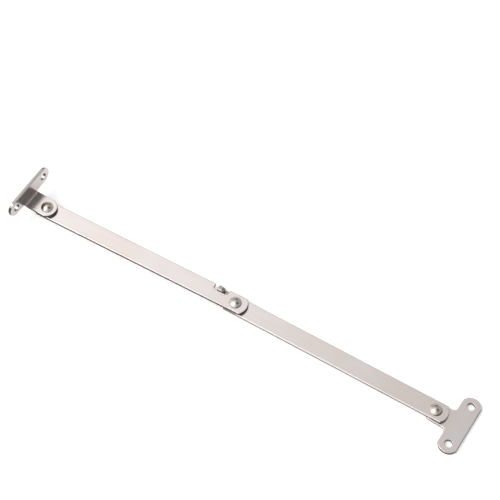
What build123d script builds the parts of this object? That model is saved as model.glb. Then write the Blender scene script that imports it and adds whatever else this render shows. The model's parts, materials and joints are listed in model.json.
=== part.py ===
"""Folding lid stay of pressed steel strip, held together by three rivets.

A flat T bracket screws to one panel and an upright angle bracket to the other.
Between them run two flat arms.  The stop arm carries a finger that is joggled up
by a little over the strip's thickness.  With the stay open the finger bears on the
floor of a notch in the other arm's edge, just before the arms come straight.

Units are millimetres.  The origin is midway between the flat bracket's two screw
holes, on its back face.  +X runs from the flat bracket to the angle bracket, +Y
along the line of the screw holes, and +Z out of the back face, up through the stack.
"""

import os
from math import cos, hypot, radians, sin, sqrt, tan

from build123d import *

os.makedirs("parts", exist_ok=True)

# Strip
SHEET = 2.0  # thickness of both arms and both brackets
ROLLED_EDGE_R = 0.5  # arms' front edges, rolled over by the press
BROKEN_EDGE = 0.25  # chamfer that breaks every other edge

# Arms
ARM_LENGTH = 125.0  # rivet to rivet
ARM_WIDTH = 10.5
ARM_END_SPREAD = 1.95  # by which the end's radius exceeds half the width
ARM_CORNER_R = 0.9  # where the end's arc meets the sides

# Screw plate and tongue, alike on both brackets
PLATE_WIDTH = 11.0
PLATE_END = 5.4  # each screw hole's centre to the plate's end
PLATE_END_SPREAD = 0.4  # by which the end's radius exceeds half the width
SCREW_SPACING = 25.0
SCREW_HOLE_D = 4.5
SCREW_RIM = 0.2  # chamfer of each screw hole's front rim
TONGUE_WIDTH = 11.6
TONGUE_REACH = 9.2  # rivet to the near edge of the flat plate
THROAT_R = 2.4  # inside corners between tongue and plate

# Upright foot of the angle bracket
FOOT_REACH = 11.2  # rivet to the foot's inner face
FOOT_LIFT = 1.0  # tongue's upper face to the foot's lower edge
BEND_R = 0.8  # inside of the bend

# Rivets
SHANK_D = 4.0
RUNNING_CLEARANCE = 0.06  # shank to the hole of the strip that turns on it
HEAD_D = 7.2
HEAD_HEIGHT = 1.7
TAIL_D = 6.2  # set tail, a low truncated cone
TAIL_FACE_D = 4.6
TAIL_HEIGHT = 0.8
SUNK_TAIL_D = 6.4  # countersunk tail, flush with the flat bracket's back
SUNK_TAIL_DEPTH = 1.2

# Stop finger, measured along its arm from the middle rivet
FINGER_WIDTH = 3.5
FINGER_CLEARANCE = 1.1  # other arm's end to the start of the joggle
FINGER_FLAT = 2.4  # level stretch from the joggle to the tip
FINGER_PROUD = 0.45  # finger's top above the notched arm
FINGER_EDGE_R = 1.0
FINGER_TIP_R = 1.1
JOGGLE_ANGLE = 75.0
JOGGLE_R = 0.3  # inside of each of its two bends

# Notch, cut round the finger
STOP_GAP = 0.05  # floor to the finger that bears on it
SWEEP_GAP = 0.2  # near corner to the finger as it swings past
TIP_GAP = 2.0  # far wall to the finger's tip
NOTCH_FLOOR_R = 1.2
NOTCH_MOUTH_R = 0.8

# Pose as modelled: the stay stands open on its stop
SHORT_OF_STRAIGHT = 1.3  # degrees left between the arms when the stop bears
STOP_ARM_TURN = 2.2  # degrees from the flat bracket's tongue to the stop arm

# Levels in the stack: the underside of each strip
LEVEL_FLAT = 0.0
LEVEL_STOP = LEVEL_FLAT + SHEET
LEVEL_NOTCHED = LEVEL_STOP + SHEET
LEVEL_ANGLE = LEVEL_NOTCHED + SHEET
TWO_STRIPS = 2 * SHEET  # the thickness that each rivet clamps

# Joggle: two bends of opposite hand with a straight ramp between
JOGGLE_RISE = SHEET + FINGER_PROUD
JOGGLE_TURN = radians(JOGGLE_ANGLE)
JOGGLE_MID_R = JOGGLE_R + SHEET / 2
JOGGLE_RAMP = (JOGGLE_RISE - 2 * JOGGLE_MID_R * (1 - cos(JOGGLE_TURN))) / sin(JOGGLE_TURN)
JOGGLE_RUN = 2 * JOGGLE_MID_R * sin(JOGGLE_TURN) + JOGGLE_RAMP * cos(JOGGLE_TURN)
JOGGLE_KNEE = JOGGLE_MID_R * tan(JOGGLE_TURN / 2)

# Stop, seen from the middle rivet
ARM_SIDE = ARM_WIDTH / 2
ARM_END_R = ARM_SIDE + ARM_END_SPREAD
FINGER_START = ARM_END_R + FINGER_CLEARANCE
FINGER_TIP = FINGER_START + JOGGLE_RUN + FINGER_FLAT
FINGER_INNER = ARM_SIDE - FINGER_WIDTH
FINGER_SWEEP_R = hypot(FINGER_START, FINGER_INNER)
NOTCH_NEAR = sqrt((FINGER_SWEEP_R - SWEEP_GAP) ** 2 - ARM_SIDE**2)
NOTCH_FAR = FINGER_TIP + TIP_GAP
STOP_TURN = radians(SHORT_OF_STRAIGHT)
NOTCH_FLOOR = FINGER_INNER * cos(STOP_TURN) + FINGER_START * sin(STOP_TURN) - STOP_GAP

# Rivet places
NOTCHED_ARM_TURN = STOP_ARM_TURN + SHORT_OF_STRAIGHT
FLAT_RIVET = Vector(PLATE_WIDTH / 2 + TONGUE_REACH, 0)
MIDDLE_RIVET = FLAT_RIVET + Vector(ARM_LENGTH, 0).rotate(Axis.Z, STOP_ARM_TURN)
ANGLE_RIVET = MIDDLE_RIVET + Vector(ARM_LENGTH, 0).rotate(Axis.Z, NOTCHED_ARM_TURN)

NEAR = 1e-4  # for finding corners and edges by their place


def at(rivet, level, turn=0.0):
    """Take a shape drawn about its rivet to that rivet, at its level in the stack."""
    return Pos(rivet.X, rivet.Y, level) * Rot(0, 0, turn)


def pressed(outline, rolled=False):
    """Extrude an outline upwards by one sheet and dress its edges, front and back."""
    blank = extrude(outline, SHEET)
    front = blank.faces().sort_by(Axis.Z)[-1].outer_wire().edges()
    blank = fillet(front, ROLLED_EDGE_R) if rolled else chamfer(front, BROKEN_EDGE)
    back = blank.faces().sort_by(Axis.Z)[0].outer_wire().edges()
    return chamfer(back, BROKEN_EDGE)


def rivet_hole(clearance=0.0):
    """Tool that drills one strip for a rivet's shank, on the Z axis."""
    return Cylinder(SHANK_D / 2 + clearance, 3 * SHEET)


# ---------------------------------------------------------------- brackets
def plate_outline():
    """Screw plate seen from its front, centred on the origin, its length along Y."""
    length = SCREW_SPACING + 2 * PLATE_END
    end_r = PLATE_WIDTH / 2 + PLATE_END_SPREAD
    strip = Rectangle(PLATE_WIDTH, length)
    return strip & SlotOverall(length, 2 * end_r, rotation=90)


def drill_screw_holes(blank):
    """Drill the two screw holes and chamfer their front rims."""
    for place in GridLocations(0, SCREW_SPACING, 1, 2):
        blank -= place * Cylinder(SCREW_HOLE_D / 2, 3 * SHEET)
    circles = blank.faces().sort_by(Axis.Z)[-1].edges().filter_by(GeomType.CIRCLE)
    rims = circles.filter_by(lambda edge: abs(edge.radius - SCREW_HOLE_D / 2) < NEAR)
    return chamfer(rims, SCREW_RIM)


def flat_bracket():
    """T bracket: screw plate and tongue in one flat blank, countersunk at the back."""
    rivet = Pos(FLAT_RIVET.X, 0)
    tongue = Pos(FLAT_RIVET.X / 2, 0) * Rectangle(FLAT_RIVET.X, TONGUE_WIDTH)
    outline = plate_outline() + tongue + rivet * Circle(TONGUE_WIDTH / 2)
    throat = Vector(PLATE_WIDTH / 2, TONGUE_WIDTH / 2)
    throats = outline.vertices().filter_by(
        lambda v: abs(v.X - throat.X) < NEAR and abs(abs(v.Y) - throat.Y) < NEAR
    )
    bracket = drill_screw_holes(pressed(fillet(throats, THROAT_R)))
    sink = Cone(
        SUNK_TAIL_D / 2,
        SHANK_D / 2,
        SUNK_TAIL_DEPTH,
        align=(Align.CENTER, Align.CENTER, Align.MIN),
    )
    return bracket - rivet * (rivet_hole() + sink)


def neck():
    """Angle bracket's tongue, bend and the root of its foot, drawn about its rivet."""
    back_x = FOOT_REACH + SHEET
    top_z = SHEET + FOOT_LIFT + PLATE_WIDTH / 2
    end_x = -TONGUE_WIDTH / 2
    side = Polyline(
        (end_x, 0, 0),
        (back_x, 0, 0),
        (back_x, 0, top_z),
        (FOOT_REACH, 0, top_z),
        (FOOT_REACH, 0, SHEET),
        (end_x, 0, SHEET),
        close=True,
    )
    profile = make_face(side)
    corners = profile.vertices()
    inner = corners.filter_by(
        lambda v: abs(v.X - FOOT_REACH) < NEAR and abs(v.Z - SHEET) < NEAR
    )
    profile = fillet(inner, BEND_R)
    outer = profile.vertices().filter_by(
        lambda v: abs(v.X - back_x) < NEAR and abs(v.Z) < NEAR
    )
    profile = fillet(outer, BEND_R + SHEET)
    bent = extrude(profile, TONGUE_WIDTH / 2, both=True)
    plan = Circle(TONGUE_WIDTH / 2)
    plan += Pos(back_x / 2, 0) * Rectangle(back_x, TONGUE_WIDTH)
    bent &= extrude(plan, top_z)

    def on_side(edge):
        middle = edge @ 0.5
        if middle.X < -NEAR:
            return abs(hypot(middle.X, middle.Y) - TONGUE_WIDTH / 2) < NEAR
        level = middle.Z < top_z - NEAR and middle.X > NEAR
        return level and abs(abs(middle.Y) - TONGUE_WIDTH / 2) < NEAR

    return chamfer(bent.edges().filter_by(on_side), BROKEN_EDGE)


def angle_bracket():
    """The same blank with its screw plate bent up square to the tongue."""
    middle_z = SHEET + FOOT_LIFT + PLATE_WIDTH / 2
    upright = Plane(
        origin=(FOOT_REACH + SHEET, 0, middle_z), x_dir=(0, 0, 1), z_dir=(-1, 0, 0)
    )
    foot = drill_screw_holes(pressed(plate_outline()))
    return neck() + upright.location * foot - rivet_hole()


# ---------------------------------------------------------------- arms
def arm_outline():
    """Arm seen from above, its rivets at the origin and at ARM_LENGTH along +X."""
    middle = Pos(ARM_LENGTH / 2, 0)
    strip = middle * Rectangle(ARM_LENGTH + 2 * ARM_END_R, ARM_WIDTH)
    outline = strip & (middle * SlotCenterToCenter(ARM_LENGTH, 2 * ARM_END_R))
    return fillet(outline.vertices(), ARM_CORNER_R)


def finger():
    """Joggled finger along +X from the middle rivet, on the arm's -Y side."""
    lane = -ARM_SIDE + FINGER_WIDTH / 2
    low = SHEET / 2
    high = low + JOGGLE_RISE
    route = FilletPolyline(
        (0, lane, low),
        (FINGER_START + JOGGLE_KNEE, lane, low),
        (FINGER_START + JOGGLE_RUN - JOGGLE_KNEE, lane, high),
        (FINGER_TIP, lane, high),
        radius=JOGGLE_MID_R,
    )
    across = Plane(origin=(0, lane, low), x_dir=(0, 1, 0), z_dir=(1, 0, 0))
    section = across * Rectangle(FINGER_WIDTH, SHEET)
    section = fillet(section.vertices().sort_by(Axis.Z)[-2:], FINGER_EDGE_R)
    strip = sweep(section, path=route)
    plan = Pos(FINGER_TIP / 2, lane) * Rectangle(FINGER_TIP, FINGER_WIDTH)
    plan = fillet(plan.vertices().sort_by(Axis.X)[-2:], FINGER_TIP_R)
    return strip & extrude(plan, JOGGLE_RISE + SHEET)


def stop_arm():
    """Lower arm, from the flat bracket's rivet to the middle rivet and its finger."""
    middle = Pos(ARM_LENGTH, 0)
    arm = pressed(arm_outline(), rolled=True) + middle * finger()
    return arm - rivet_hole(RUNNING_CLEARANCE) - middle * rivet_hole()


def notched_arm():
    """Upper arm, from the middle rivet to the angle bracket's rivet."""
    notch = Pos((NOTCH_NEAR + NOTCH_FAR) / 2, -(NOTCH_FLOOR + ARM_WIDTH) / 2)
    notch *= Rectangle(NOTCH_FAR - NOTCH_NEAR, ARM_WIDTH - NOTCH_FLOOR)
    outline = arm_outline() - notch
    within = outline.vertices().filter_by(
        lambda v: NOTCH_NEAR - NEAR < v.X < NOTCH_FAR + NEAR and v.Y < 0
    )
    outline = fillet(within.sort_by(Axis.Y)[-2:], NOTCH_FLOOR_R)
    mouth = outline.vertices().filter_by(
        lambda v: NOTCH_NEAR - NEAR < v.X < NOTCH_FAR + NEAR and v.Y < -ARM_SIDE + NEAR
    )
    arm = pressed(fillet(mouth, NOTCH_MOUTH_R), rolled=True)
    turning = rivet_hole(RUNNING_CLEARANCE)
    return arm - turning - Pos(ARM_LENGTH, 0) * turning


# ---------------------------------------------------------------- rivets
def rivet(sunk=False):
    """Domed rivet through two strips, the underside of its head at level zero."""
    base = -TWO_STRIPS
    crown = (0, 0, HEAD_HEIGHT)
    rim = (HEAD_D / 2, 0, 0)
    dome = TangentArc(crown, rim, tangent=(1, 0, 0))
    if sunk:
        tail = [(SHANK_D / 2, 0, base + SUNK_TAIL_DEPTH), (SUNK_TAIL_D / 2, 0, base)]
        foot = (0, 0, base)
    else:
        below = base - TAIL_HEIGHT
        tail = [(SHANK_D / 2, 0, base), (TAIL_D / 2, 0, base), (TAIL_FACE_D / 2, 0, below)]
        foot = (0, 0, below)
    outline = dome + Polyline(rim, (SHANK_D / 2, 0, 0), *tail, foot, crown)
    return revolve(make_face(outline), Axis.Z)


PIECES = {
    "flat_bracket": flat_bracket(),
    "stop_arm": at(FLAT_RIVET, LEVEL_STOP, STOP_ARM_TURN) * stop_arm(),
    "notched_arm": at(MIDDLE_RIVET, LEVEL_NOTCHED, NOTCHED_ARM_TURN) * notched_arm(),
    "angle_bracket": at(ANGLE_RIVET, LEVEL_ANGLE) * angle_bracket(),
    "flat_bracket_rivet": at(FLAT_RIVET, LEVEL_FLAT + TWO_STRIPS) * rivet(sunk=True),
    "middle_rivet": at(MIDDLE_RIVET, LEVEL_STOP + TWO_STRIPS) * rivet(),
    "angle_bracket_rivet": at(ANGLE_RIVET, LEVEL_NOTCHED + TWO_STRIPS) * rivet(),
}

for name, piece in PIECES.items():
    export_step(piece, f"parts/{name}.step")

foot_x = ANGLE_RIVET.X + FOOT_REACH + SHEET
foot_z = LEVEL_ANGLE + SHEET + FOOT_LIFT + PLATE_WIDTH / 2
print(f"rivets at {FLAT_RIVET}, {MIDDLE_RIVET}, {ANGLE_RIVET}")
print(f"foot's back at x {foot_x:.3f}, screw holes about y {ANGLE_RIVET.Y:.3f}, z {foot_z:.3f}")
print(f"notch {NOTCH_NEAR:.2f} to {NOTCH_FAR:.2f}, floor {NOTCH_FLOOR:.2f}; finger tip {FINGER_TIP:.2f}")
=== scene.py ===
"""Looks of a folding lid stay: two pressed arms, two screw brackets and three rivets.

Each strip is shaped on the bench in millimetres, about its own rivet, with its length
along +X and its back on the plane z = 0.  It is then placed in the frame, in metres.
"""

import json
import logging
import math
from collections.abc import Callable, Iterator
from contextlib import contextmanager
from dataclasses import dataclass, replace
from enum import Enum

import bmesh
import bpy
from mathutils import Matrix, Quaternion, Vector


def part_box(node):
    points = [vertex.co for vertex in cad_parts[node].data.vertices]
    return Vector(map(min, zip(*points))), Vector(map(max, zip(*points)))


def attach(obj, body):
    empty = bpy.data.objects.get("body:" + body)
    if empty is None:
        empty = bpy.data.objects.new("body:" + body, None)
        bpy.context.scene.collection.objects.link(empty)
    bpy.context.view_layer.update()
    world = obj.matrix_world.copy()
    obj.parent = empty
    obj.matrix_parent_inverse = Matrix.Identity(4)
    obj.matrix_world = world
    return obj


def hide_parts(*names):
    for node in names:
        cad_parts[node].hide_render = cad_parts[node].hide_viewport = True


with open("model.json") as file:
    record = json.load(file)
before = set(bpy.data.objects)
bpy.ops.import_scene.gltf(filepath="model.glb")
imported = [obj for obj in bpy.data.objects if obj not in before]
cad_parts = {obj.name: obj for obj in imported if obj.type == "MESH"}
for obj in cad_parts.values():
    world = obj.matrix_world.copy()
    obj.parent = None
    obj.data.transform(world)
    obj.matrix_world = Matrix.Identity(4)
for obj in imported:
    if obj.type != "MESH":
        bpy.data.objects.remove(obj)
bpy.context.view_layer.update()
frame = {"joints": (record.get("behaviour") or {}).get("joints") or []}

LOG = logging.getLogger("lid_stay")

MM = 0.001
X_AXIS = Vector((1, 0, 0))
Y_AXIS = Vector((0, 1, 0))
Z_AXIS = Vector((0, 0, 1))
NEAR = 1e-3  # in millimetres, for finding corners and edges by their place
ARC_STEPS = 96  # corners round a full circle of a strip's outline
CUT_DEPTH = 20.0  # height of a drill or a cutter, more than any strip
CORNER_STEPS = 8  # facets of a rounded corner of the outline
EDGE_STEPS = 4  # facets of a rounded edge
RIM_STEPS = 3  # facets of a screw hole's rim
RIM_SLACK = 0.02  # in millimetres, for finding a rim drawn with straight sides
FLAT_ANGLE = math.radians(0.5)  # between faces that belong to one flat
SMOOTH_ANGLE = math.radians(32)
FLAT_WEIGHT = 100  # of large faces over small ones in the shading, at its highest
ALONG = 0.9  # cosine from which an edge or a normal counts as lying along an axis
SQUARE = 0.1  # and up to which it counts as square to it
WALL_TILT = 0.6  # normal's part along Z up to which a polygon counts as a side

SENSOR_WIDTH = 36.0
FOCAL_LENGTH = 2.7928  # in widths of the sensor
CLIP_RANGE = (0.01, 20.0)  # in metres
VIEW_TURN = -146.88  # of the view's right from +X, in degrees
AIM_RIGHT = 0.00821  # from the middle rivet to the point aimed at, in metres
AIM_FAR = 0.03723  # and the same away from the camera


# ------------------------------------------------------------------ bench
class Element(Enum):
    """What a selection on the bench is made of."""

    VERTEX = "VERT"
    EDGE = "EDGE"
    FACE = "FACE"


Item = bmesh.types.BMVert | bmesh.types.BMEdge | bmesh.types.BMFace
Feed = bpy.types.NodeSocket | float | tuple[float, ...] | Vector


def only(piece: bpy.types.Object) -> None:
    """Make one object the active one and the only one selected.

    Args:
        piece: The object.
    """
    bpy.ops.object.select_all(action="DESELECT")
    piece.select_set(True)
    bpy.context.view_layer.objects.active = piece


@contextmanager
def editing(piece: bpy.types.Object, element: Element = Element.FACE) -> Iterator[None]:
    """Open a piece in edit mode with nothing selected, and close it afterwards.

    Args:
        piece: The mesh object to work on.
        element: What the selections inside are made of.

    Yields:
        Nothing, while the piece is open.
    """
    only(piece)
    bpy.ops.object.mode_set(mode="EDIT")
    bpy.ops.mesh.select_mode(type=element.value)
    bpy.ops.mesh.select_all(action="DESELECT")
    yield
    bpy.ops.object.mode_set(mode="OBJECT")


def pick(element: Element, test: Callable[[Item], bool]) -> None:
    """Select the vertices, edges or faces of the piece in edit mode that pass a test.

    Args:
        element: What to look at, the same as the selection is made of.
        test: Takes one bmesh element and says whether it is wanted.
    """
    data = bpy.context.edit_object.data
    mesh = bmesh.from_edit_mesh(data)
    mesh.normal_update()
    kinds = {Element.VERTEX: mesh.verts, Element.EDGE: mesh.edges, Element.FACE: mesh.faces}
    bpy.ops.mesh.select_all(action="DESELECT")
    for item in kinds[element]:
        item.select_set(bool(test(item)))
    mesh.select_flush_mode()
    bmesh.update_edit_mesh(data)


def middle(edge: bmesh.types.BMEdge) -> Vector:
    """Middle of an edge."""
    return (edge.verts[0].co + edge.verts[1].co) / 2


def is_upright(edge: bmesh.types.BMEdge) -> bool:
    """Say whether an edge stands square to the strip."""
    run = edge.verts[1].co - edge.verts[0].co
    return abs(run.z) > ALONG * run.length


def modify(piece: bpy.types.Object, kind: str, **settings: object) -> None:
    """Add a modifier to a piece and apply it.

    Args:
        piece: The mesh object to change.
        kind: The modifier's type, such as "BEVEL".
        settings: The modifier's own values by name.
    """
    only(piece)
    bpy.ops.object.modifier_add(type=kind)
    modifier = piece.modifiers[-1]
    for name, value in settings.items():
        setattr(modifier, name, value)
    bpy.ops.object.modifier_apply(modifier=modifier.name)


def combine(piece: bpy.types.Object, other: bpy.types.Object, operation: str) -> None:
    """Cut, join or trim a piece by another one, which is used up.

    Args:
        piece: The mesh object that stays.
        other: The tool, or the part that is joined.
        operation: "DIFFERENCE", "UNION" or "INTERSECT".
    """
    modify(piece, "BOOLEAN", operation=operation, object=other, solver="EXACT")
    bpy.data.objects.remove(other)
    with editing(piece):
        bpy.ops.mesh.select_all(action="SELECT")
        bpy.ops.mesh.remove_doubles(threshold=NEAR)
        bpy.ops.mesh.dissolve_degenerate(threshold=NEAR)
        bpy.ops.mesh.delete_loose()
        bpy.ops.mesh.select_all(action="SELECT")
        bpy.ops.mesh.fill_holes(sides=4)


def score(piece: bpy.types.Object, spot: Vector, across: Vector) -> None:
    """Split the faces of a piece along a plane, and leave its form as it is.

    Args:
        piece: The mesh object.
        spot: Any point of the plane.
        across: The plane's normal.
    """
    with editing(piece):
        bpy.ops.mesh.select_all(action="SELECT")
        bpy.ops.mesh.bisect(plane_co=spot, plane_no=across, threshold=NEAR)


def drill(piece: bpy.types.Object, spot: Vector, diameter: float, across: Vector) -> None:
    """Drill one round hole along Z through a piece.

    Args:
        piece: The mesh object.
        spot: Any point of the hole's axis.
        diameter: Of the hole.
        across: Normal of the plane through the axis that splits the faces beforehand, so
            that no face is left with a hole inside it.
    """
    score(piece, spot, across)
    bpy.ops.object.select_all(action="DESELECT")
    bpy.ops.mesh.primitive_cylinder_add(
        vertices=ARC_STEPS // 2, radius=diameter / 2, depth=CUT_DEPTH, location=spot
    )
    combine(piece, bpy.context.object, "DIFFERENCE")


def block(low: Vector, high: Vector) -> bpy.types.Object:
    """Add a rectangular block.

    Args:
        low: Its lowest corner.
        high: Its highest corner.

    Returns:
        The block.
    """
    bpy.ops.object.select_all(action="DESELECT")
    bpy.ops.mesh.primitive_cube_add(size=1, location=(low + high) / 2, scale=high - low)
    piece = bpy.context.object
    bpy.ops.object.transform_apply(location=True, rotation=False, scale=True)
    return piece


def round_blank(radius: float, reach: float, half_width: float) -> bpy.types.Object:
    """Flat blank with two round ends, lying in the plane z = 0.

    Args:
        radius: Of both ends.
        reach: From the centre of one end, at the origin, to that of the other along +X.
        half_width: To which the sides are trimmed.

    Returns:
        The blank, one face with no thickness.
    """
    bpy.ops.object.select_all(action="DESELECT")
    bpy.ops.mesh.primitive_circle_add(vertices=ARC_STEPS, radius=radius, fill_type="NGON")
    blank = bpy.context.object
    with editing(blank, Element.VERTEX):
        pick(Element.VERTEX, lambda vertex: vertex.co.x > NEAR)
        bpy.ops.transform.translate(value=(reach, 0, 0))
        for side in (-1, 1):
            if half_width < radius:
                bpy.ops.mesh.select_all(action="SELECT")
                bpy.ops.mesh.bisect(
                    plane_co=(0, side * half_width, 0),
                    plane_no=(0, side, 0),
                    clear_outer=True,
                    threshold=NEAR,
                )
    return blank


def thicken(blank: bpy.types.Object, thickness: float) -> None:
    """Extrude a flat blank upwards into a closed strip.

    Args:
        blank: The outline, a face with no thickness.
        thickness: To give it.
    """
    with editing(blank):
        bpy.ops.mesh.select_all(action="SELECT")
        bpy.ops.mesh.extrude_region_move(TRANSFORM_OT_translate={"value": (0, 0, thickness)})
        bpy.ops.mesh.select_all(action="SELECT")
        bpy.ops.mesh.normals_make_consistent(inside=False)


def bevel_edges(
    piece: bpy.types.Object,
    width: float,
    steps: int,
    test: Callable[[bmesh.types.BMEdge], bool],
) -> None:
    """Round the edges of a piece that pass a test.

    Args:
        piece: The mesh object.
        width: How far the rounding reaches from each edge.
        steps: Facets of the rounding.
        test: Says of an edge whether it is wanted.
    """
    with editing(piece, Element.EDGE):
        pick(Element.EDGE, test)
        bpy.ops.mesh.bevel(offset=width, segments=steps, affect="EDGES", clamp_overlap=False)


def round_corners(
    piece: bpy.types.Object, radius: float, test: Callable[[Vector], bool]
) -> None:
    """Round the square upright corners of a strip that pass a test.

    Args:
        piece: The strip.
        radius: Of the corners.
        test: Says of a corner's middle whether it is wanted.
    """
    bevel_edges(
        piece, radius, CORNER_STEPS, lambda edge: is_upright(edge) and test(middle(edge))
    )


def roll_edges(
    piece: bpy.types.Object, level: float, width: float, until: float = math.inf
) -> None:
    """Round the outline of a strip's face at one level.

    Args:
        piece: The strip, its faces square to Z.
        level: Of the face whose outline is rounded.
        width: How far the rounding reaches into the face and down the side.
        until: Distance along X from which the outline stays square.
    """

    def outlines(edge: bmesh.types.BMEdge) -> bool:
        """Say whether an edge parts the strip's face from its side at that level.

        Args:
            edge: Of the strip's mesh.

        Returns:
            Whether it is rounded.
        """
        tilts = sorted(abs(face.normal.z) for face in edge.link_faces)
        spot = middle(edge)
        at_rim = abs(spot.z - level) < NEAR and tilts[0] < SQUARE and tilts[-1] > ALONG
        return at_rim and spot.x < until - NEAR

    bevel_edges(piece, width, EDGE_STEPS, outlines)


def round_rims(
    piece: bpy.types.Object, centres: list[Vector], radius: float, width: float
) -> None:
    """Round both rims of some holes that run along Z.

    Args:
        piece: The mesh object.
        centres: A point of each hole's axis.
        radius: Of the holes.
        width: How far the rounding reaches into the face and down the hole.
    """

    def on_rim(edge: bmesh.types.BMEdge) -> bool:
        """Say whether an edge lies on the rim of one of the holes.

        Args:
            edge: Of the piece's mesh.

        Returns:
            Whether it is rounded.
        """
        spot = middle(edge)
        flat = not is_upright(edge)
        return flat and any(
            abs((spot - hole).xy.length - radius) < RIM_SLACK for hole in centres
        )

    bevel_edges(piece, width, RIM_STEPS, on_rim)


def merge_flats(piece: bpy.types.Object) -> None:
    """Make one face of each flat that a join has left in parts.

    Args:
        piece: The joined mesh object.
    """
    with editing(piece):
        bpy.ops.mesh.select_all(action="SELECT")
        bpy.ops.mesh.dissolve_limited(angle_limit=FLAT_ANGLE)


def shift(piece: bpy.types.Object, move: Matrix) -> None:
    """Move or turn a piece on the bench, in its mesh.

    Args:
        piece: The mesh object.
        move: The move or turn.
    """
    only(piece)
    piece.matrix_world = move
    bpy.ops.object.transform_apply(location=True, rotation=True, scale=True)


def smooth(piece: bpy.types.Object) -> None:
    """Shade a piece smoothly over its rounded edges, and keep its flats flat.

    Args:
        piece: The mesh object.
    """
    only(piece)
    bpy.ops.object.shade_smooth_by_angle(angle=SMOOTH_ANGLE)
    modify(piece, "WEIGHTED_NORMAL", keep_sharp=True, weight=FLAT_WEIGHT)


def place(piece: bpy.types.Object, spot: Vector, turn: float = 0.0) -> None:
    """Take a piece from the bench, in millimetres, to its place in the frame, in metres.

    Args:
        piece: The finished mesh object.
        spot: Where its rivet and its back go, in metres.
        turn: How far its length is turned from +X, about Z, in radians.
    """
    only(piece)
    piece.matrix_world = (
        Matrix.Translation(spot) @ Matrix.Rotation(turn, 4, "Z") @ Matrix.Scale(MM, 4)
    )
    bpy.ops.object.transform_apply(location=True, rotation=True, scale=True)


# ------------------------------------------------------------------ shader groups
BAND_SCALE = 0.17  # of the broad bands, where that of the fine streaks is 1
PATCH_RANGE = (0.35, 0.65)  # of the noise, between which a patch sets in
STREAK_RANGE = (0.93, 1.05)  # by which the fine streaks scale the colour
BAND_RANGE = (0.8, 1.25)  # by which the broad bands scale the roughness
WHITE = (1.0, 1.0, 1.0, 1.0)


def node(
    tree: bpy.types.NodeTree,
    kind: str,
    inputs: dict[str | int, Feed] | None = None,
    **settings: object,
) -> bpy.types.Node:
    """Add one node to a tree, set it up and wire it.

    Args:
        tree: The tree of a material or of a group.
        kind: The node's type.
        inputs: For each input, by name or number, a value or the socket that feeds it.
        settings: The node's own values by name.

    Returns:
        The new node.
    """
    made = tree.nodes.new(kind)
    for name, value in settings.items():
        setattr(made, name, value)
    for name, value in (inputs or {}).items():
        if isinstance(value, bpy.types.NodeSocket):
            tree.links.new(value, made.inputs[name])
        else:
            made.inputs[name].default_value = value
    return made


def calculate(
    tree: bpy.types.NodeTree, operation: str, first: Feed, second: Feed
) -> bpy.types.NodeSocket:
    """Add a calculation with two values to a tree.

    Args:
        tree: The tree of a material, a group or the world.
        operation: Such as "MULTIPLY" or "MAXIMUM".
        first: Value or socket.
        second: Value or socket.

    Returns:
        The socket of the result.
    """
    return node(tree, "ShaderNodeMath", {0: first, 1: second}, operation=operation).outputs[0]


def new_group(
    name: str, inputs: dict[str, float | None], outputs: list[str]
) -> tuple[bpy.types.NodeTree, bpy.types.Node, bpy.types.Node]:
    """Start a shader group with named sockets.

    Args:
        name: Of the group.
        inputs: For each input its default, or None for a vector.
        outputs: Names of its values.

    Returns:
        The group's tree, its input node and its output node.
    """
    tree = bpy.data.node_groups.new(name, "ShaderNodeTree")
    for label, default in inputs.items():
        kind = "NodeSocketVector" if default is None else "NodeSocketFloat"
        socket = tree.interface.new_socket(label, in_out="INPUT", socket_type=kind)
        if default is not None:
            socket.default_value = default
    for label in outputs:
        tree.interface.new_socket(label, in_out="OUTPUT", socket_type="NodeSocketFloat")
    return tree, tree.nodes.new("NodeGroupInput"), tree.nodes.new("NodeGroupOutput")


def brush_grain() -> bpy.types.NodeTree:
    """Fine streaks along the strip's length, left by the rolls and the brushes.

    Returns:
        The group, which is built once.
    """
    name = "brush_grain"
    if name in bpy.data.node_groups:
        return bpy.data.node_groups[name]
    tree, given, made = new_group(
        name, {"Vector": None, "Length": 0.02, "Width": 0.0004}, ["Streak", "Band"]
    )
    along = calculate(tree, "DIVIDE", 1.0, given.outputs["Length"])
    across = calculate(tree, "DIVIDE", 1.0, given.outputs["Width"])
    stretch = node(tree, "ShaderNodeCombineXYZ", {"X": along, "Y": across, "Z": across})
    spot = node(
        tree,
        "ShaderNodeVectorMath",
        {0: given.outputs["Vector"], 1: stretch.outputs[0]},
        operation="MULTIPLY",
    )
    fine = node(
        tree,
        "ShaderNodeTexNoise",
        {"Vector": spot.outputs[0], "Scale": 1.0, "Detail": 4.0, "Roughness": 0.6},
    )
    broad = node(
        tree,
        "ShaderNodeTexNoise",
        {"Vector": spot.outputs[0], "Scale": BAND_SCALE, "Detail": 2.0, "Roughness": 0.5},
    )
    tree.links.new(fine.outputs["Fac"], made.inputs["Streak"])
    tree.links.new(broad.outputs["Fac"], made.inputs["Band"])
    return tree


def plating_cloud() -> bpy.types.NodeTree:
    """Soft patches where the plating is a little thicker, warmer or duller.

    Returns:
        The group, which is built once.
    """
    name = "plating_cloud"
    if name in bpy.data.node_groups:
        return bpy.data.node_groups[name]
    tree, given, made = new_group(name, {"Vector": None, "Size": 0.02}, ["Patch"])
    scale = calculate(tree, "DIVIDE", 1.0, given.outputs["Size"])
    patch = node(
        tree,
        "ShaderNodeTexNoise",
        {"Vector": given.outputs["Vector"], "Scale": scale, "Detail": 2.0},
    )
    low, high = PATCH_RANGE
    contrast = node(
        tree,
        "ShaderNodeMapRange",
        {"Value": patch.outputs["Fac"], "From Min": low, "From Max": high},
        interpolation_type="SMOOTHSTEP",
    )
    tree.links.new(contrast.outputs["Result"], made.inputs["Patch"])
    return tree


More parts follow.
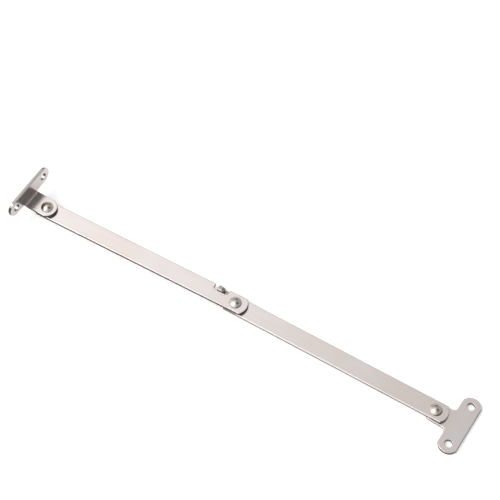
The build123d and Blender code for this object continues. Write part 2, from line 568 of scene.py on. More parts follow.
# ------------------------------------------------------------------ finishes
@dataclass(frozen=True)
class PlatedFinish:
    """Bright nickel plate over strip, streaked along the strip's length."""

    name: str
    base: tuple[float, float, float]
    warm: tuple[float, float, float]
    roughness: float
    grain_depth: float  # height of the streaks, in metres
    grain_length: float = 0.03
    grain_width: float = 0.00035
    cloud_size: float = 0.025

    def material(self, turn: float = 0.0) -> bpy.types.Material:
        """Build the finish with its streaks turned about Z to lie along a strip.

        Args:
            turn: The strip's own turn from +X, in radians.

        Returns:
            The material.
        """
        made = bpy.data.materials.new(self.name)
        made.use_nodes = True
        tree = made.node_tree
        shader = tree.nodes["Principled BSDF"]
        coordinates = node(tree, "ShaderNodeTexCoord")
        along = node(
            tree,
            "ShaderNodeMapping",
            {"Vector": coordinates.outputs["Object"], "Rotation": (0.0, 0.0, -turn)},
        ).outputs[0]
        grain = node(
            tree,
            "ShaderNodeGroup",
            {"Vector": along, "Length": self.grain_length, "Width": self.grain_width},
            node_tree=brush_grain(),
        )
        cloud = node(
            tree,
            "ShaderNodeGroup",
            {"Vector": along, "Size": self.cloud_size},
            node_tree=plating_cloud(),
        )
        tone = node(
            tree,
            "ShaderNodeMix",
            {"Factor": cloud.outputs["Patch"], "A": (*self.base, 1.0), "B": (*self.warm, 1.0)},
            data_type="RGBA",
        )
        darker, lighter = STREAK_RANGE
        streak = node(
            tree,
            "ShaderNodeMapRange",
            {"Value": grain.outputs["Streak"], "To Min": darker, "To Max": lighter},
        )
        shade = node(
            tree,
            "ShaderNodeVectorMath",
            {0: tone.outputs["Result"], "Scale": streak.outputs[0]},
            operation="SCALE",
        )
        smoothest, roughest = (self.roughness * share for share in BAND_RANGE)
        rough = node(
            tree,
            "ShaderNodeMapRange",
            {"Value": grain.outputs["Band"], "To Min": smoothest, "To Max": roughest},
        )
        bump = node(
            tree,
            "ShaderNodeBump",
            {"Height": grain.outputs["Streak"], "Distance": self.grain_depth, "Strength": 1.0},
        )
        tree.links.new(shade.outputs[0], shader.inputs["Base Color"])
        tree.links.new(rough.outputs[0], shader.inputs["Roughness"])
        tree.links.new(bump.outputs[0], shader.inputs["Normal"])
        shader.inputs["Metallic"].default_value = 1.0
        return made


PLATED_FINISH = PlatedFinish(
    name="plated_strip",
    base=(0.74, 0.69, 0.675),
    warm=(0.73, 0.655, 0.62),
    roughness=0.2,
    grain_depth=0.00001,
)
# Near-black sides: sheared steel is duller than the plating, and painted shade stands in for the
# shadow and dark reflections along the floor and under the arms.
SHEARED_SHADE_FINISH = PlatedFinish(
    name="sheared_edge_painted_shade",
    base=(0.10, 0.094, 0.09),
    warm=(0.07, 0.064, 0.058),
    roughness=0.45,
    grain_depth=0.00002,
    grain_length=0.004,
)


class Surface(Enum):
    """What the surface of a strip can be, and its finish: plated, or darker with painted shade,
    the sheared sides being duller steel as well.
    """

    PLATED = PLATED_FINISH
    # Painted shade: plating darkened on the upright foot, for the darker surroundings that it
    # mirrors.
    DULLED = replace(
        PLATED_FINISH, name="strip_light_painted_shade", base=(0.62, 0.58, 0.565), warm=(0.6, 0.54, 0.51)
    )
    # Painted shade: plating darkened on the finger, on the rolled edges along -Y and on the foot's
    # upper edge, for dimmer reflections there.
    FORMED = replace(
        PLATED_FINISH, name="strip_painted_shade", base=(0.46, 0.43, 0.42), warm=(0.38, 0.35, 0.33)
    )
    # Painted shade: a mid-dark side for the notch's walls and for the stop arm's walls near its
    # end under the other arm.
    TRIMMED = replace(
        SHEARED_SHADE_FINISH, name="wall_painted_shade", base=(0.34, 0.32, 0.31), warm=(0.26, 0.24, 0.225)
    )
    SHEARED = SHEARED_SHADE_FINISH


RIVET_FINISH = PlatedFinish(
    name="plated_rivet",
    base=(0.53, 0.505, 0.48),
    warm=(0.56, 0.495, 0.42),
    roughness=0.16,
    grain_depth=0.000004,
    grain_length=0.002,
    grain_width=0.0008,
    cloud_size=0.004,
)


def dress(
    piece: bpy.types.Object, turn: float, choose: Callable[[bpy.types.MeshPolygon], Surface]
) -> None:
    """Give a placed strip the finishes that its surfaces need.

    Args:
        piece: The strip.
        turn: Of the strip's length from +X, in radians.
        choose: Says what surface a polygon of the mesh belongs to.
    """
    chosen = [choose(polygon) for polygon in piece.data.polygons]
    needed = [surface for surface in Surface if surface in chosen]
    piece.data.materials.clear()
    for surface in needed:
        piece.data.materials.append(surface.value.material(turn))
    for polygon, surface in zip(piece.data.polygons, chosen):
        polygon.material_index = needed.index(surface)


def is_wall(polygon: bpy.types.MeshPolygon) -> bool:
    """Say whether a polygon of a flat strip lies on one of its sheared sides."""
    return abs(polygon.normal.z) < WALL_TILT


# ------------------------------------------------------------------ the frame's own places
@dataclass(frozen=True)
class Pivots:
    """Where the three rivets stand, and the levels of the strips that they hold."""

    flat: Vector
    middle: Vector
    angle: Vector
    sheet: float

    @classmethod
    def from_frame(cls) -> "Pivots":
        """Read the rivets' places from the joints, and the sheet from the flat bracket.

        Returns:
            The three places and the sheet's thickness, in metres.
        """
        spots = {joint["name"]: Vector(joint["pos_m"]) for joint in frame["joints"]}
        low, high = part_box("flat_bracket")
        return cls(
            flat=spots["flat_bracket_pivot"],
            middle=spots["middle_pivot"],
            angle=spots["angle_bracket_pivot"],
            sheet=high.z - low.z,
        )

    def at(self, pivot: Vector, strips_below: int) -> Vector:
        """Place on a rivet's axis, on top of a number of strips."""
        return Vector((pivot.x, pivot.y, strips_below * self.sheet))


# ------------------------------------------------------------------ stop
@dataclass(frozen=True)
class Stop:
    """The joggled finger and the notch that it bears in, in millimetres.

    Lengths run along the arms from the middle rivet, and the finger is on the -Y side.
    """

    short_of_straight: float  # left between the arms when the stop bears, in radians
    sheet: float
    arm_side: float = 5.25
    arm_end: float = 7.2
    width: float = 3.5
    clearance: float = 1.1
    flat: float = 2.4
    proud: float = 0.45
    edge_radius: float = 1.0
    tip_radius: float = 0.6
    angle: float = math.radians(75)
    bend_radius: float = 0.3
    stop_gap: float = 0.05
    sweep_gap: float = 0.2
    tip_gap: float = 2.0
    floor_radius: float = 1.2
    mouth_radius: float = 0.8
    edge_steps: int = 6
    tip_steps: int = 5
    bend_steps: int = 8

    @property
    def rise(self) -> float:
        """Height that the finger is joggled up."""
        return self.sheet + self.proud

    @property
    def mid_radius(self) -> float:
        """Radius of both bends at the middle of the sheet."""
        return self.bend_radius + self.sheet / 2

    @property
    def ramp(self) -> float:
        """Straight stretch between the two bends."""
        in_bends = 2 * self.mid_radius * (1 - math.cos(self.angle))
        return (self.rise - in_bends) / math.sin(self.angle)

    @property
    def start(self) -> float:
        """Start of the joggle, clear of the other arm's end."""
        return self.arm_end + self.clearance

    @property
    def tip(self) -> float:
        """Far end of the finger."""
        bends = 2 * self.mid_radius * math.sin(self.angle)
        return self.start + bends + self.ramp * math.cos(self.angle) + self.flat

    @property
    def inner(self) -> float:
        """Distance of the finger's inner side from the arm's middle line."""
        return self.arm_side - self.width

    @property
    def notch_near(self) -> float:
        """Near wall of the notch, clear of the finger as it swings past."""
        swing = math.hypot(self.start, self.inner) - self.sweep_gap
        return math.sqrt(swing**2 - self.arm_side**2)

    @property
    def notch_far(self) -> float:
        """Far wall of the notch."""
        return self.tip + self.tip_gap

    @property
    def notch_floor(self) -> float:
        """Distance of the notch's floor from the arm's middle line."""
        turn = self.short_of_straight
        return self.inner * math.cos(turn) + self.start * math.sin(turn) - self.stop_gap

    def finger(self) -> bpy.types.Object:
        """Bend the finger up from a rounded bar.

        Returns:
            The finger about the middle rivet.
        """
        lane = -self.arm_side + self.width / 2
        piece = block(
            Vector((0, -self.arm_side, 0)), Vector((self.start, -self.inner, self.sheet))
        )
        turn = self.angle
        first = Vector((self.start, lane, self.sheet + self.bend_radius))
        along = Vector((math.cos(turn), 0, math.sin(turn)))
        upward = Vector((-math.sin(turn), 0, math.cos(turn)))
        second = first - 2 * self.mid_radius * upward + self.ramp * along
        bevel_edges(
            piece,
            self.edge_radius,
            self.edge_steps,
            lambda edge: middle(edge).z > self.sheet - NEAR
            and abs(middle(edge).x - self.start / 2) < NEAR,
        )
        with editing(piece):
            pick(Element.FACE, lambda face: face.normal.x > ALONG)
            bpy.ops.mesh.spin(steps=self.bend_steps, angle=turn, center=first, axis=Y_AXIS)
            bpy.ops.mesh.extrude_region_move(
                TRANSFORM_OT_translate={"value": self.ramp * along}
            )
            bpy.ops.mesh.spin(steps=self.bend_steps, angle=turn, center=second, axis=-Y_AXIS)
            bpy.ops.mesh.extrude_region_move(
                TRANSFORM_OT_translate={"value": (self.flat, 0, 0)}
            )
        bevel_edges(
            piece,
            self.tip_radius,
            self.tip_steps,
            lambda edge: all(abs(v.co.x - self.tip) < NEAR for v in edge.verts)
            and middle(edge).z > self.rise + NEAR,
        )
        return piece

    def cut_notch(self, arm: bpy.types.Object) -> None:
        """Cut the notch into an arm's -Y side and round its corners.

        Args:
            arm: The arm's blank about the middle rivet.
        """
        outside = -3 * self.arm_side  # well clear of the arm
        cutter = block(
            Vector((self.notch_near, outside, -CUT_DEPTH)),
            Vector((self.notch_far, -self.notch_floor, CUT_DEPTH)),
        )
        combine(arm, cutter, "DIFFERENCE")

        def in_notch(spot: Vector) -> bool:
            """Say whether a corner belongs to the notch."""
            return self.notch_near - NEAR < spot.x < self.notch_far + NEAR and spot.y < 0

        round_corners(
            arm, self.floor_radius, lambda spot: in_notch(spot) and spot.y > -self.arm_side + NEAR
        )
        round_corners(
            arm, self.mouth_radius, lambda spot: in_notch(spot) and spot.y < -self.arm_side + NEAR
        )


# ------------------------------------------------------------------ arms
@dataclass
class Arm:
    """A pressed arm between two rivets."""

    name: str
    node: str
    body: str
    start: Vector
    end: Vector
    width: float = 10.5
    end_spread: float = 1.95
    corner: float = 0.36
    rolled_edge: float = 0.32
    broken_edge: float = 0.15
    hole: float = 4.0
    clear_of_end: float = 20.0

    @property
    def length(self) -> float:
        """Rivet to rivet, in millimetres."""
        return (self.end - self.start).xy.length / MM

    @property
    def turn(self) -> float:
        """Of the arm's length from +X, in radians."""
        run = self.end - self.start
        return math.atan2(run.y, run.x)

    def blank(self, thickness: float) -> bpy.types.Object:
        """Cut the arm's outline and give it its thickness.

        Args:
            thickness: Of the sheet, in millimetres.

        Returns:
            The blank with square edges.
        """
        piece = round_blank(self.width / 2 + self.end_spread, self.length, self.width / 2)
        with editing(piece, Element.VERTEX):
            pick(
                Element.VERTEX,
                lambda vertex: abs(abs(vertex.co.y) - self.width / 2) < NEAR,
            )
            bpy.ops.mesh.bevel(offset=self.corner, segments=EDGE_STEPS, affect="VERTICES")
        thicken(piece, thickness)
        return piece

    def roll(self, piece: bpy.types.Object, thickness: float) -> None:
        """Roll the front edges over and break the back ones.

        Args:
            piece: The arm's blank.
            thickness: Of the sheet, in millimetres.
        """
        roll_edges(piece, thickness, self.rolled_edge)
        roll_edges(piece, 0.0, self.broken_edge)

    def drill_pivots(self, piece: bpy.types.Object) -> None:
        """Drill the arm for its two rivets, with its long faces split clear of them.

        Args:
            piece: The arm.
        """
        for x in (0.0, self.length):
            inward = math.copysign(self.clear_of_end, self.length / 2 - x)
            score(piece, Vector((x + inward, 0, 0)), X_AXIS)
            drill(piece, Vector((x, 0, 0)), self.hole, X_AXIS)

    def shape(self, thickness: float) -> bpy.types.Object:
        """Model the arm on the bench.

        Args:
            thickness: Of the sheet, in millimetres.

        Returns:
            The arm about its first rivet.
        """
        piece = self.blank(thickness)
        self.roll(piece, thickness)
        self.drill_pivots(piece)
        return piece

    def surface_of(self, polygon: bpy.types.MeshPolygon) -> Surface:
        """Tell surfaces apart: the rolled edge along -Y is darkened as painted shade, and the
        sides are near-black sheared steel with painted shade.

        Args:
            polygon: Of the placed arm's mesh.

        Returns:
            The surface that it belongs to.
        """
        if is_wall(polygon):
            return Surface.SHEARED
        rolled = polygon.normal.z < 1 - NEAR and polygon.normal.y < -NEAR
        return Surface.FORMED if rolled and polygon.normal.z > 0 else Surface.PLATED

    def build(self, sheet: float) -> bpy.types.Object:
        """Model, place and dress the arm.

        Args:
            sheet: The strip's thickness, in metres.

        Returns:
            The finished piece, which rides on its body.
        """
        piece = self.shape(sheet / MM)
        piece.name = self.name
        smooth(piece)
        place(piece, self.start, self.turn)
        dress(piece, self.turn, self.surface_of)
        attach(piece, self.body)
        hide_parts(self.node)
        return piece


@dataclass
class StopArm(Arm):
    """The lower arm, whose end past the middle rivet carries the stop finger."""

    stop: Stop | None = None
    wall_shade_reach: float = 3.0  # from where the walls take painted shade, under the other arm, to the middle rivet
    torn_shade_height: float = 1.15  # lower part of the sheared wall, left dark: the torn zone, and painted shade along the floor

    def roll(self, piece: bpy.types.Object, thickness: float) -> None:
        """Roll and break the edges, and part the walls where their surface changes.

        Args:
            piece: The arm's blank.
            thickness: Of the sheet, in millimetres.
        """
        super().roll(piece, thickness)
        score(piece, Vector((self.length - self.wall_shade_reach, 0, 0)), X_AXIS)
        score(piece, Vector((0, 0, self.torn_shade_height)), Z_AXIS)

    def shape(self, thickness: float) -> bpy.types.Object:
        """Model the arm on the bench and join the finger to its far end.

        Args:
            thickness: Of the sheet, in millimetres.

        Returns:
            The arm about its first rivet.
        """
        piece = super().shape(thickness)
        finger = self.stop.finger()
        shift(finger, Matrix.Translation((self.length, 0, 0)))
        combine(piece, finger, "UNION")
        return piece

    def surface_of(self, polygon: bpy.types.MeshPolygon) -> Surface:
        """Tell surfaces apart: the finger is darkened as painted shade; the walls are plated above
        the torn band, and painted shade darkens them below it and near the end under the other
        arm.

        Args:
            polygon: Of the placed arm's mesh.

        Returns:
            The surface that it belongs to.
        """
        past = (polygon.center.x - self.end.x) / MM
        if past > 0 and (polygon.center - self.end).xy.length / MM > self.stop.arm_end + NEAR:
            return Surface.FORMED
        if not is_wall(polygon) or polygon.center.z < self.start.z + self.torn_shade_height * MM:
            return super().surface_of(polygon)
        return Surface.TRIMMED if past > -self.wall_shade_reach else Surface.PLATED


@dataclass
class NotchedArm(Arm):
    """The upper arm, notched beside the middle rivet for the finger."""

    stop: Stop | None = None
    margin: float = 1.0  # beside the notch, for finding its walls

    def blank(self, thickness: float) -> bpy.types.Object:
        """Cut the arm's outline with its notch.

        Args:
            thickness: Of the sheet, in millimetres.

        Returns:
            The notched blank with square edges.
        """
        piece = super().blank(thickness)
        self.stop.cut_notch(piece)
        return piece

    def surface_of(self, polygon: bpy.types.MeshPolygon) -> Surface:
        """Tell surfaces apart: the notch's walls get a mid-dark painted shade, less deep than on
        the arm's other sides.

        Args:
            polygon: Of the placed arm's mesh.

        Returns:
            The surface that it belongs to.
        """
        spot = Matrix.Rotation(-self.turn, 3, "Z") @ (polygon.center - self.start) / MM
        near, far = self.stop.notch_near - self.margin, self.stop.notch_far + self.margin
        if near < spot.x < far and spot.y < 0 and is_wall(polygon):
            return Surface.TRIMMED
        return super().surface_of(polygon)


# ------------------------------------------------------------------ brackets
@dataclass
class Bracket:
    """A screw plate with a tongue that is riveted to an arm."""

    name: str
    node: str
    body: str
    spot: Vector
    plate_width: float = 11.0
    plate_end: float = 5.4
    end_spread: float = 0.4
    screw_spacing: float = 25.0
    screw_hole: float = 4.5
    tongue_width: float = 11.6
    pivot_hole: float = 4.0
    edge: float = 0.3
    rim: float = 0.2

    def plate(self, thickness: float) -> bpy.types.Object:
        """Cut the screw plate, not yet drilled.

        Args:
            thickness: Of the sheet, in millimetres.

        Returns:
            The plate about the origin, its length along Y.
        """
        length = self.screw_spacing + 2 * self.plate_end
        radius = self.plate_width / 2 + self.end_spread
        reach = length - 2 * radius
        piece = round_blank(radius, reach, self.plate_width / 2)
        thicken(piece, thickness)
        shift(piece, Matrix.Rotation(math.pi / 2, 4, "Z") @ Matrix.Translation((-reach / 2, 0, 0)))
        return piece

    def drill_screws(self, piece: bpy.types.Object) -> None:
        """Drill a plate that lies about the origin, and round the holes' rims.

        Args:
            piece: The plate, its length along Y.
        """
        spots = [Vector((0, side * self.screw_spacing / 2, 0)) for side in (-1, 1)]
        for spot in spots:
            drill(piece, spot, self.screw_hole, Y_AXIS)
        round_rims(piece, spots, self.screw_hole / 2, self.rim)

    def shape(self, thickness: float) -> bpy.types.Object:
        """Model the bracket on the bench; each kind of bracket has its own way."""
        raise NotImplementedError

    def surface_of(self, polygon: bpy.types.MeshPolygon) -> Surface:
        """Surface that a polygon of the placed bracket belongs to."""
        return Surface.SHEARED if is_wall(polygon) else Surface.PLATED

    def build(self, sheet: float) -> bpy.types.Object:
        """Model, place and dress the bracket.

        Args:
            sheet: The strip's thickness, in metres.

        Returns:
            The finished piece, which rides on its body.
        """
        piece = self.shape(sheet / MM)
        piece.name = self.name
        smooth(piece)
        place(piece, self.spot)
        dress(piece, math.pi / 2, self.surface_of)
        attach(piece, self.body)
        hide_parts(self.node)
        return piece


@dataclass
class FlatBracket(Bracket):
    """T bracket that lies flat, countersunk from behind for its rivet's tail."""

    tongue_reach: float = 14.7  # plate's middle to the rivet
    throat: float = 2.4
    sink: float = 6.4
    sink_depth: float = 1.2
    torn_shade_height: float = 1.15  # lower part of the sheared wall, left dark: the torn zone, and painted shade along the floor
    overlap: float = 0.2  # of tongue and plate before they are joined

    def shape(self, thickness: float) -> bpy.types.Object:
        """Join the tongue to the plate, round the throats, and drill for the rivet.

        Args:
            thickness: Of the sheet, in millimetres.

        Returns:
            The bracket about its plate's middle.
        """
        piece = self.plate(thickness)
        radius = self.tongue_width / 2
        inside = radius - self.plate_width / 2 + self.overlap
        tongue = round_blank(radius, self.tongue_reach - inside, radius)
        thicken(tongue, thickness)
        shift(tongue, Matrix.Translation((inside, 0, 0)))
        combine(piece, tongue, "UNION")
        merge_flats(piece)
        round_corners(
            piece,
            self.throat,
            lambda spot: abs(spot.x - self.plate_width / 2) < NEAR
            and abs(abs(spot.y) - radius) < self.edge / 4,
        )
        roll_edges(piece, thickness, self.edge)
        roll_edges(piece, 0.0, self.edge)
        score(piece, Vector((0, 0, self.torn_shade_height)), Z_AXIS)
        self.drill_screws(piece)
        drill(piece, Vector((self.tongue_reach, 0, 0)), self.pivot_hole, X_AXIS)
        bpy.ops.object.select_all(action="DESELECT")
        bpy.ops.mesh.primitive_cone_add(
            vertices=ARC_STEPS // 2,
            radius1=self.sink / 2,
            radius2=self.pivot_hole / 2,
            depth=self.sink_depth,
            location=(self.tongue_reach, 0, self.sink_depth / 2),
        )
        combine(piece, bpy.context.object, "DIFFERENCE")
        return piece

    def surface_of(self, polygon: bpy.types.MeshPolygon) -> Surface:
        """Tell surfaces apart: the tongue's walls are plated above the torn band, and the other
        sides are near-black with painted shade.

        Args:
            polygon: Of the placed bracket's mesh.

        Returns:
            The surface that it belongs to.
        """
        on_tongue = polygon.center.x > self.plate_width / 2 * MM
        if on_tongue and polygon.center.z > self.spot.z + self.torn_shade_height * MM:
            return Surface.PLATED
        return super().surface_of(polygon)


@dataclass
class AngleBracket(Bracket):
    """Bracket whose screw plate stands upright, bent up square to the tongue."""

    bend_radius: float = 0.8
    bend_steps: int = 10

    @property
    def foot_back(self) -> float:
        """Rivet to the upright plate's back, as the frame has it, in millimetres."""
        return (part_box(self.node)[1].x - self.spot.x) / MM

    @property
    def foot_middle(self) -> float:
        """Level of the upright plate's screw holes over the tongue's back, in millimetres."""
        return (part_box(self.node)[1].z - self.spot.z) / MM - self.plate_width / 2

    def shape(self, thickness: float) -> bpy.types.Object:
        """Bend the tongue's end up and join the upright plate to it.

        Args:
            thickness: Of the sheet, in millimetres.

        Returns:
            The bracket about its rivet.
        """
        radius = self.tongue_width / 2
        bend_start = self.foot_back - thickness - self.bend_radius
        bend_top = thickness + self.bend_radius
        piece = round_blank(radius, bend_start, radius)
        with editing(piece):
            bpy.ops.mesh.select_all(action="SELECT")
            bpy.ops.mesh.bisect(
                plane_co=(bend_start, 0, 0), plane_no=X_AXIS, clear_outer=True, threshold=NEAR
            )
        thicken(piece, thickness)
        roll_edges(piece, thickness, self.edge, until=bend_start)
        roll_edges(piece, 0.0, self.edge, until=bend_start)
        drill(piece, Vector((0, 0, 0)), self.pivot_hole, X_AXIS)
        with editing(piece):
            pick(Element.FACE, lambda face: face.calc_center_median().x > bend_start - NEAR)
            bpy.ops.mesh.spin(
                steps=self.bend_steps,
                angle=math.pi / 2,
                center=(bend_start, 0, bend_top),
                axis=Y_AXIS,
            )
            bpy.ops.mesh.extrude_region_move(
                TRANSFORM_OT_translate={"value": (0, 0, self.foot_middle - bend_top)}
            )
        foot = self.plate(thickness)
        roll_edges(foot, thickness, self.edge)
        roll_edges(foot, 0.0, self.edge)
        self.drill_screws(foot)
        upright = Matrix.Rotation(-math.pi / 2, 4, "Y")
        shift(foot, Matrix.Translation((self.foot_back, 0, self.foot_middle)) @ upright)
        combine(piece, foot, "UNION")
        return piece

    def surface_of(self, polygon: bpy.types.MeshPolygon) -> Surface:
        """Tell surfaces apart: painted shade darkens the foot's faces and, more, its upper edge,
        and the foot's sides are near-black with painted shade.

        Args:
            polygon: Of the placed bracket's mesh.

        Returns:
            The surface that it belongs to.
        """
        low = self.foot_middle - self.plate_width / 2
        if polygon.center.z > self.spot.z + low * MM:
            if abs(polygon.normal.x) > WALL_TILT:
                return Surface.DULLED
            return Surface.FORMED if polygon.normal.z > WALL_TILT else Surface.SHEARED
        if polygon.center.x > self.spot.x:
            # Sides along the tongue by the foot: near-black sheared steel with painted shade.
            sheared = abs(polygon.normal.y) > 1 - WALL_TILT
            return Surface.SHEARED if sheared else Surface.PLATED
        return super().surface_of(polygon)


# ------------------------------------------------------------------ rivets
class Tail(Enum):
    """How a rivet is closed behind the strips."""

    SET = "set"
    SUNK = "sunk"


@dataclass
class Rivet:
    """Domed rivet through two strips, the underside of its head at level zero."""

    name: str
    node: str
    body: str
    spot: Vector  # under the head
    tail: Tail = Tail.SET
    head: float = 7.2
    head_height: float = 1.7
    brow: float = 0.15
    shank: float = 4.0
    set_tail: float = 6.2
    set_face: float = 4.6
    set_height: float = 0.8
    sunk_tail: float = 6.4
    sunk_depth: float = 1.2
    dome_steps: int = 14

    def rings(self, thickness: float) -> list[tuple[float, float]]:
        """List the rivet's outline from tail to crown.

        Args:
            thickness: Of one strip, in millimetres.

        Returns:
            Radius and level of each ring.
        """
        base = -2 * thickness
        shank = self.shank / 2
        if self.tail is Tail.SUNK:
            below = [(self.sunk_tail / 2, base), (shank, base + self.sunk_depth)]
        else:
            below = [
                (self.set_face / 2, base - self.set_height),
                (self.set_tail / 2, base),
                (shank, base),
            ]
        brim = self.head / 2
        rise = self.head_height - self.brow
        radius = (brim**2 + rise**2) / (2 * rise)
        widest = math.asin(brim / radius)
        turns = [widest * (1 - step / self.dome_steps) for step in range(self.dome_steps)]
        dome = [
            (radius * math.sin(turn), self.head_height - radius * (1 - math.cos(turn)))
            for turn in turns
        ]
        return [*below, (shank, 0.0), (brim - self.brow, 0.0), *dome]

    def shape(self, thickness: float) -> bpy.types.Object:
        """Raise the rivet from a disc, ring by ring, and close its crown.

        Args:
            thickness: Of one strip, in millimetres.

        Returns:
            The rivet, the underside of its head at level zero.
        """
        rings = self.rings(thickness)
        bpy.ops.object.select_all(action="DESELECT")
        radius, level = rings[0]
        bpy.ops.mesh.primitive_circle_add(
            vertices=ARC_STEPS // 2, radius=radius, fill_type="NGON", location=(0, 0, level)
        )
        piece = bpy.context.object
        bpy.ops.object.transform_apply(location=True)
        with editing(piece):
            bpy.ops.mesh.select_all(action="SELECT")
            for wider, higher in rings[1:]:
                share = wider / radius
                bpy.ops.mesh.extrude_region_move(
                    TRANSFORM_OT_translate={"value": (0, 0, higher - level)}
                )
                bpy.ops.transform.resize(
                    value=(share, share, 1), center_override=(0, 0, higher)
                )
                radius, level = wider, higher
            bpy.ops.mesh.poke(offset=self.head_height - level)
            bpy.ops.mesh.select_all(action="SELECT")
            bpy.ops.mesh.normals_make_consistent(inside=False)
        return piece

    def build(self, sheet: float) -> bpy.types.Object:
        """Model, place and dress the rivet.

        Args:
            sheet: The strip's thickness, in metres.

        Returns:
            The finished piece, which rides on its body.
        """
        piece = self.shape(sheet / MM)
        piece.name = self.name
        smooth(piece)
        place(piece, self.spot)
        piece.data.materials.clear()
        piece.data.materials.append(RIVET_FINISH.material())
        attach(piece, self.body)
        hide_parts(self.node)
        return piece


# ------------------------------------------------------------------ studio
@dataclass(frozen=True)
class Viewpoint:
    """The camera's place and lens, with its angles in degrees."""

    aim: Vector
    azimuth: float
    elevation: float
    roll: float
    distance: float
    lens: float

    def direction(self, right: float, far: float, up: float) -> Vector:
        """Make a direction from three parts as the view has them.

        Args:
            right: Part along the view's right.
            far: Part along the floor, away from the camera.
            up: Part along +Z.

        Returns:
            The direction in the frame, of length one.
        """
        turn = math.radians(self.azimuth)
        return Vector(
            (
                right * math.cos(turn) - far * math.sin(turn),
                right * math.sin(turn) + far * math.cos(turn),
                up,
            )
        ).normalized()

    def build(self) -> None:
        """Set up the scene's camera."""
        above = math.radians(self.elevation)
        back = self.direction(0, -math.cos(above), math.sin(above))
        camera = bpy.data.objects.new("camera", bpy.data.cameras.new("camera"))
        camera.data.lens = self.lens
        camera.data.sensor_width = SENSOR_WIDTH
        camera.data.clip_start, camera.data.clip_end = CLIP_RANGE
        camera.location = self.aim + self.distance * back
        camera.rotation_mode = "QUATERNION"
        roll = Quaternion(Z_AXIS, math.radians(self.roll))
        camera.rotation_quaternion = (-back).to_track_quat("-Z", "Y") @ roll
        bpy.context.scene.collection.objects.link(camera)
        bpy.context.scene.camera = camera


@dataclass(frozen=True)
class SkyPatch:
    """Part of the sky that is brighter or darker than the rest."""

    middle: Vector
    edge: float  # cosine of the angle from its middle at which it ends
    core: float  # cosine of the angle within which it is full
    gain: float  # by which it multiplies the sky

    def wire(
        self, tree: bpy.types.NodeTree, direction: bpy.types.NodeSocket, level: Feed
    ) -> bpy.types.NodeSocket:
        """Multiply the sky's level by this patch.

        Args:
            tree: The world's node tree.
            direction: Socket of the direction that is looked up.
            level: Socket or value of the sky so far.

        Returns:
            The socket of the new level.
        """
        toward = node(
            tree, "ShaderNodeVectorMath", {0: direction, 1: self.middle}, operation="DOT_PRODUCT"
        )
        gain = node(
            tree,
            "ShaderNodeMapRange",
            {
                "Value": toward.outputs["Value"],
                "From Min": self.edge,
                "From Max": self.core,
                "To Min": 1.0,
                "To Max": self.gain,
            },
            interpolation_type="SMOOTHSTEP",
        )
        return calculate(tree, "MULTIPLY", level, gain.outputs[0])


@dataclass(frozen=True)
class Studio:
    """Pale floor, a soft sky made of patches, and one soft lamp."""

    patches: tuple[SkyPatch, ...]
    lamp_direction: Vector
    sky_level: float = 0.625
    lamp_distance: float = 1.2
    lamp_size: float = 0.45
    lamp_power: float = 1.6
    floor_size: float = 12.0
    floor_tone: float = 0.92
    floor_roughness: float = 0.9
    floor_glow: float = 0.24

    def build_sky(self) -> None:
        """Light the scene by a world of soft patches that the camera sees as white."""
        world = bpy.data.worlds.new("studio_sky")
        bpy.context.scene.world = world
        world.use_nodes = True
        tree = world.node_tree
        tree.nodes.clear()
        output = tree.nodes.new("ShaderNodeOutputWorld")
        direction = node(tree, "ShaderNodeTexCoord").outputs["Generated"]
        level = self.sky_level
        for patch in self.patches:
            level = patch.wire(tree, direction, level)
        sky = node(tree, "ShaderNodeBackground", {"Color": WHITE, "Strength": level})
        white = node(tree, "ShaderNodeBackground", {"Color": WHITE, "Strength": 1.0})
        rays = node(tree, "ShaderNodeLightPath")
        mix = node(
            tree,
            "ShaderNodeMixShader",
            {0: rays.outputs["Is Camera Ray"], 1: sky.outputs[0], 2: white.outputs[0]},
        )
        tree.links.new(mix.outputs[0], output.inputs["Surface"])

    def build_floor(self) -> None:
        """Lay a pale floor that keeps the shadows and shows white where nothing shades it."""
        bpy.ops.object.select_all(action="DESELECT")
        bpy.ops.mesh.primitive_plane_add(size=self.floor_size)
        floor = bpy.context.object
        floor.name = "floor"
        made = bpy.data.materials.new("floor")
        made.use_nodes = True
        tree = made.node_tree
        shader = tree.nodes["Principled BSDF"]
        shader.inputs["Base Color"].default_value = (*[self.floor_tone] * 3, 1.0)
        shader.inputs["Roughness"].default_value = self.floor_roughness
        shader.inputs["Specular IOR Level"].default_value = 0.0
        rays = node(tree, "ShaderNodeLightPath")
        seen = calculate(
            tree, "MAXIMUM", rays.outputs["Is Camera Ray"], rays.outputs["Is Glossy Ray"]
        )
        lit = calculate(tree, "MAXIMUM", seen, rays.outputs["Is Transmission Ray"])
        glow = calculate(tree, "MULTIPLY", lit, self.floor_glow)
        shader.inputs["Emission Color"].default_value = WHITE
        tree.links.new(glow, shader.inputs["Emission Strength"])
        floor.data.materials.append(made)

    def build_lamp(self, target: Vector) -> None:
        """Hang the soft lamp and aim it at the stay.

        Args:
            target: The point that it is aimed at.
        """
        data = bpy.data.lights.new("soft_lamp", "AREA")
        data.shape = "DISK"
        data.size = self.lamp_size
        data.energy = self.lamp_power
        lamp = bpy.data.objects.new("soft_lamp", data)
        toward = self.lamp_direction.normalized()
        lamp.location = target + self.lamp_distance * toward
        lamp.rotation_mode = "QUATERNION"
        lamp.rotation_quaternion = (-toward).to_track_quat("-Z", "Y")
        bpy.context.scene.collection.objects.link(lamp)

    def build(self, target: Vector) -> None:
        """Build the sky, the floor and the lamp.

        Args:
            target: The point that the lamp is aimed at.
        """
        bpy.context.scene.view_settings.view_transform = "Standard"
        self.build_sky()
        self.build_floor()
        self.build_lamp(target)


def clear_startup() -> None:
    """Remove the cube, lamp and camera that a new file starts with."""
    for name in ("Cube", "Light", "Camera"):
        if name in bpy.data.objects:
            bpy.data.objects.remove(bpy.data.objects[name])


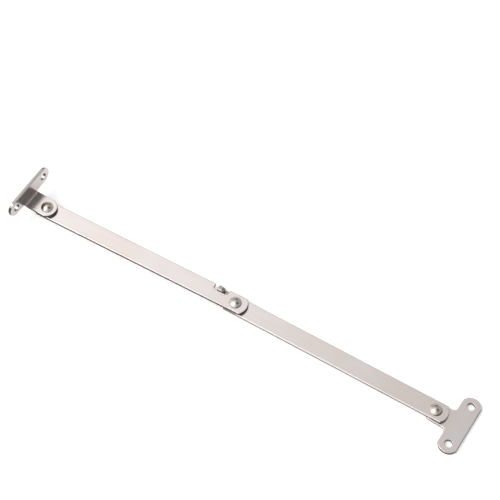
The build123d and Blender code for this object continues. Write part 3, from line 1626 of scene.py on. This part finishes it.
def main() -> None:
    """Build the stay piece by piece, and then the studio round it."""
    logging.basicConfig(level=logging.INFO, format="%(name)s: %(message)s")
    clear_startup()
    pivots = Pivots.from_frame()
    lower = pivots.middle - pivots.flat
    upper = pivots.angle - pivots.middle
    stop = Stop(
        short_of_straight=math.atan2(upper.y, upper.x) - math.atan2(lower.y, lower.x),
        sheet=pivots.sheet / MM,
    )
    parts: list[Arm | Bracket | Rivet] = [
        FlatBracket("flat_bracket_plated", "flat_bracket", "flat_end", Vector((0, 0, 0))),
        StopArm(
            "stop_arm_plated",
            "stop_arm",
            "lower_arm",
            pivots.at(pivots.flat, 1),
            pivots.at(pivots.middle, 1),
            stop=stop,
        ),
        NotchedArm(
            "notched_arm_plated",
            "notched_arm",
            "upper_arm",
            pivots.at(pivots.middle, 2),
            pivots.at(pivots.angle, 2),
            stop=stop,
        ),
        AngleBracket(
            "angle_bracket_plated", "angle_bracket", "angle_end", pivots.at(pivots.angle, 3)
        ),
        Rivet(
            "flat_bracket_rivet_plated",
            "flat_bracket_rivet",
            "flat_end",
            pivots.at(pivots.flat, 2),
            Tail.SUNK,
        ),
        Rivet("middle_rivet_plated", "middle_rivet", "lower_arm", pivots.at(pivots.middle, 3)),
        Rivet(
            "angle_bracket_rivet_plated",
            "angle_bracket_rivet",
            "angle_end",
            pivots.at(pivots.angle, 4),
        ),
    ]
    for part in parts:
        piece = part.build(pivots.sheet)
        LOG.info("%s has %d faces", piece.name, len(piece.data.polygons))
    view = Viewpoint(
        aim=Vector((pivots.middle.x, pivots.middle.y, 0)),
        azimuth=VIEW_TURN,
        elevation=60.0,
        roll=-0.27,
        distance=0.8003,
        lens=FOCAL_LENGTH * SENSOR_WIDTH,
    )
    sidestep = AIM_RIGHT * view.direction(1, 0, 0) + AIM_FAR * view.direction(0, 1, 0)
    view = replace(view, aim=view.aim + sidestep)
    view.build()
    Studio(
        patches=(
            SkyPatch(view.direction(-1, 0, 0), edge=-0.3, core=0.2, gain=2.1),
            SkyPatch(view.direction(-0.55, -0.12, 0.82), edge=0.87, core=0.95, gain=1.9),
            SkyPatch(view.direction(-0.1, 0.95, 0.3), edge=0.8, core=0.92, gain=0.5),
            SkyPatch(view.direction(0.42, 0.06, 0.9), edge=0.93, core=0.98, gain=0.27),
            SkyPatch(view.direction(0.1, -0.4, -0.91), edge=-0.25, core=-0.05, gain=0.15),
        ),
        lamp_direction=view.direction(-0.52, -0.05, 0.85),
    ).build(view.aim)


if __name__ == "__main__":
    main()
